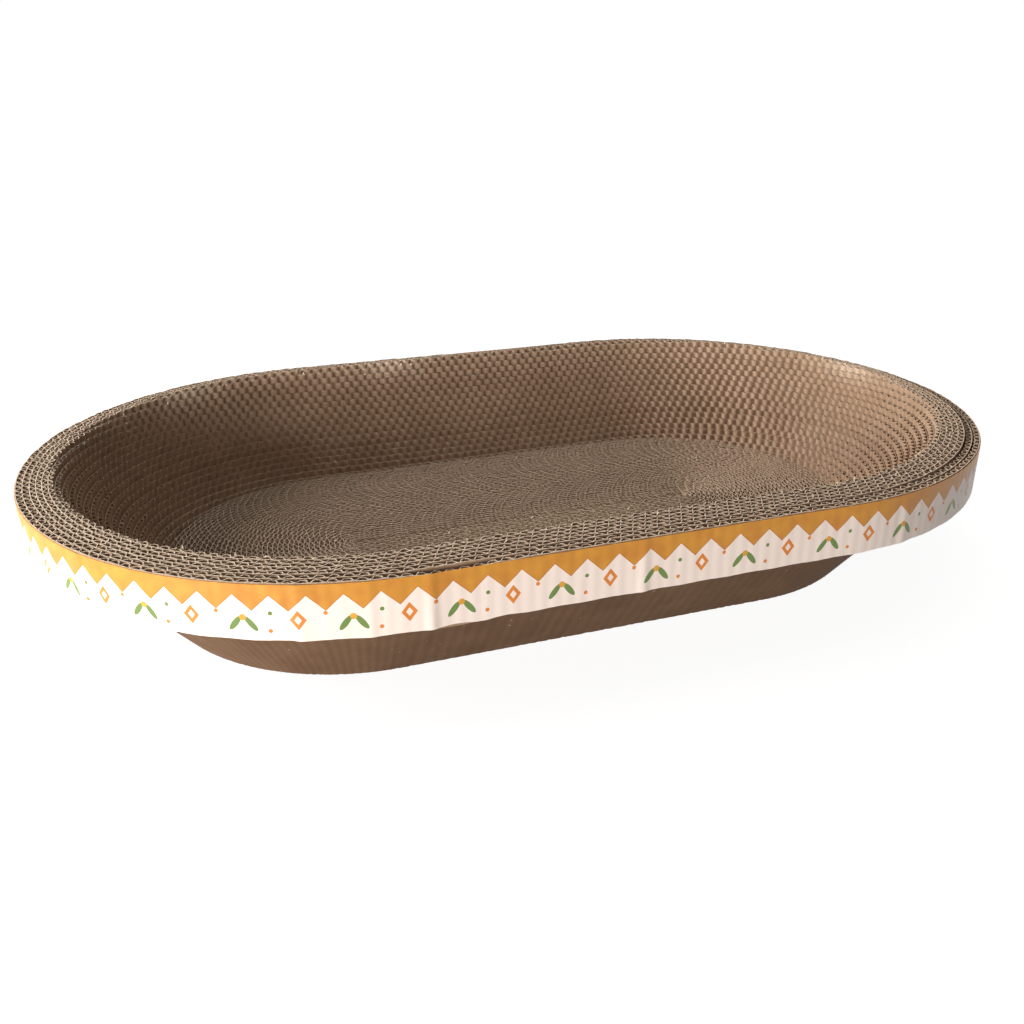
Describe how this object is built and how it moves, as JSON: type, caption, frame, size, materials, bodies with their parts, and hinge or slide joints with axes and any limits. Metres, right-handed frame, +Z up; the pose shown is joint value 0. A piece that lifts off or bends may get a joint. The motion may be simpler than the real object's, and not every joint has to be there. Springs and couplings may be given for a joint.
{
  "type": "oval cat scratcher bowl",
  "caption": "Oval bowl-shaped cat scratcher wound from corrugated cardboard strip, with a flat rim, a stepped wall, a flat floor, a printed paper band and a tapered skirt to stand on.",
  "frame": {"origin": "on the ground, under the middle of the bowl", "axes": "+X along the length, +Y to the back, +Z up"},
  "size_m": [0.525, 0.324, 0.081],
  "materials": {
    "printed_paper": "coated print, satin",
    "rim_board": "cut edge, matt",
    "wall_board": "matt",
    "floor_board": "cut edge, matt",
    "skirt_liner": "smooth liner, matt"
  },
  "bodies": {
    "root": {"printed_band": "printed_paper", "rim_hoop": "rim_board", "rim_winding": "rim_board", "wall_winding_upper": "wall_board", "wall_winding_lower": "wall_board", "floor_winding_outer": "floor_board", "floor_winding_inner": "floor_board", "core_winding": "floor_board", "outer_skirt": "skirt_liner"}
  },
  "joints": []
}
